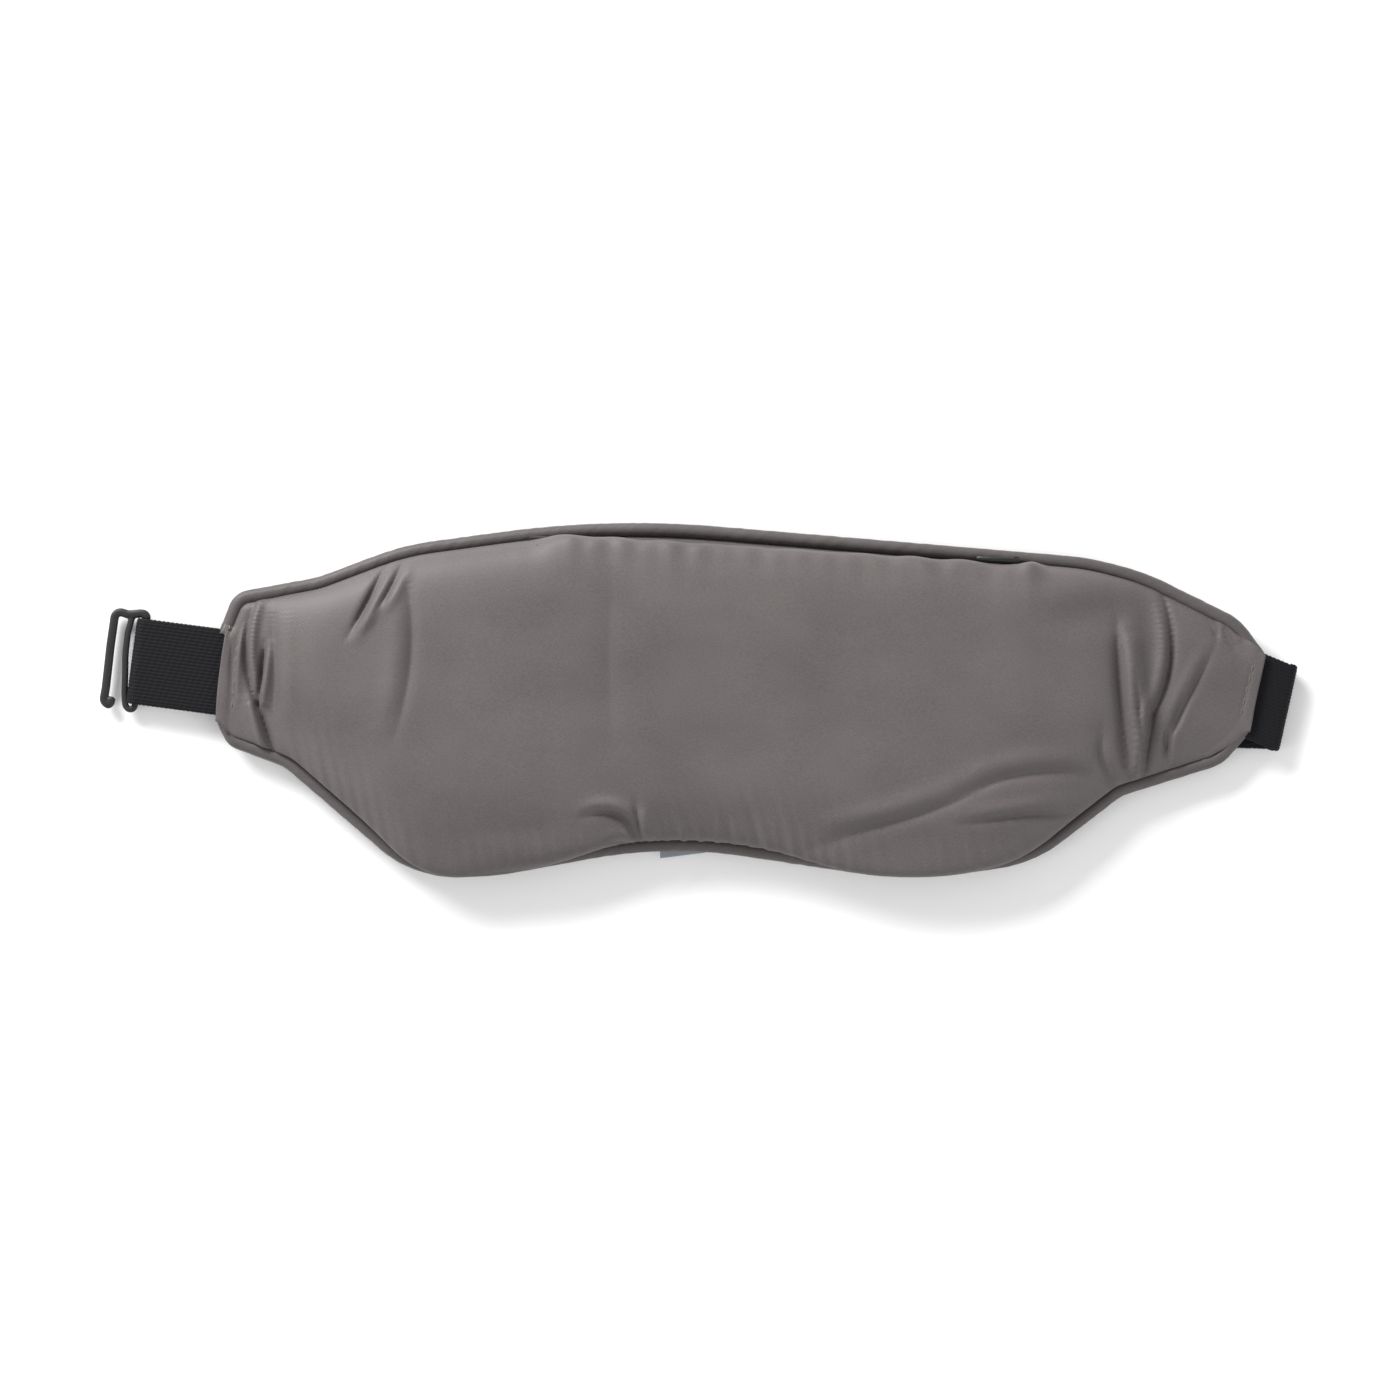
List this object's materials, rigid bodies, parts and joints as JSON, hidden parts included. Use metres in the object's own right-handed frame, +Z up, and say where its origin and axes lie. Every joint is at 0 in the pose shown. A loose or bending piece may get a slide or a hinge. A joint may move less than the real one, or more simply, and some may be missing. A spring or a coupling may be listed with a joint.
{
  "type": "sleep mask",
  "caption": "Padded satin sleep mask with piped edges, a zipped cover over a bead insert, and an elastic strap with a swan hook and a slide adjuster.",
  "frame": {"origin": "on the floor under the middle of the whole object, which lies on its back", "axes": "+X along the mask's width towards the long strap, +Y towards the mask's top edge, +Z up, out of the front panel"},
  "size_m": [0.279, 0.0825, 0.0136],
  "materials": {
    "satin": "satin",
    "satin_back": "satin",
    "piping_satin": "satin",
    "cotton_cord": "matte",
    "insert_cloth": "matte",
    "beads": "matte",
    "zip_tape": "matte",
    "zip_teeth": "matte",
    "zip_stop": "matte",
    "zip_metal": "satin",
    "elastic": "matte",
    "black_thread": "matte",
    "hook_plastic": "matte",
    "label_cloth": "matte",
    "satin_thread": "satin"
  },
  "bodies": {
    "mask": {"front_panel": "satin", "back_panel": "satin_back", "piping_top_cover": "piping_satin", "piping_bottom_cover": "piping_satin", "piping_top_cord": "cotton_cord", "piping_bottom_cord": "cotton_cord", "insert_front_sheet": "insert_cloth", "insert_back_sheet": "insert_cloth", "bead_fill_left": "beads", "bead_fill_middle": "beads", "bead_fill_right": "beads", "zip_tape_lower": "zip_tape", "zip_tape_upper": "zip_tape", "zip_teeth_lower": "zip_teeth", "zip_teeth_upper": "zip_teeth", "zip_bottom_stop": "zip_stop", "zip_top_stops": "zip_stop", "stub_strap": "elastic", "strap_upper_run": "elastic", "strap_fold": "elastic", "care_label": "label_cloth", "topstitch_left": "satin_thread", "topstitch_right": "satin_thread"},
    "zip_slider": {"zip_slider": "zip_metal"},
    "zip_pull": {"zip_pull": "zip_metal"},
    "swan_hook": {"swan_hook": "hook_plastic"},
    "rear_strap": {"strap_rear_run": "elastic", "strap_return": "elastic"},
    "slide_adjuster": {"slide_adjuster": "hook_plastic", "strap_end_wrap": "elastic", "wrap_bartack": "black_thread"}
  },
  "joints": [
    {"name": "zip_slide", "type": "slide", "parent": "mask", "child": "zip_slider", "axis": [-0.9979, 0.0645, 0], "range_m": [0, 0.0995]},
    {"name": "pull_swing", "type": "hinge", "parent": "zip_slider", "child": "zip_pull", "pos_m": [0.07329, 0.03216, 0.007], "axis": [0, 0, -1], "range_deg": [0, 165]},
    {"name": "hook_swing", "type": "hinge", "parent": "mask", "child": "swan_hook", "pos_m": [-0.1303, 0.00895, 0.0024], "axis": [0.1305, 0.9914, 0], "range_deg": [-85, 85]},
    {"name": "strap_unfold", "type": "hinge", "parent": "mask", "child": "rear_strap", "pos_m": [0.13505, -0.0016, 0.00302], "axis": [-0.2164, -0.9763, 0], "range_deg": [0, 180], "deforming": ["strap_fold"]},
    {"name": "adjuster_slide", "type": "slide", "parent": "rear_strap", "child": "slide_adjuster", "axis": [-0.999, 0.0436, 0], "range_m": [-0.025, 0.025], "deforming": ["strap_return"]}
  ]
}
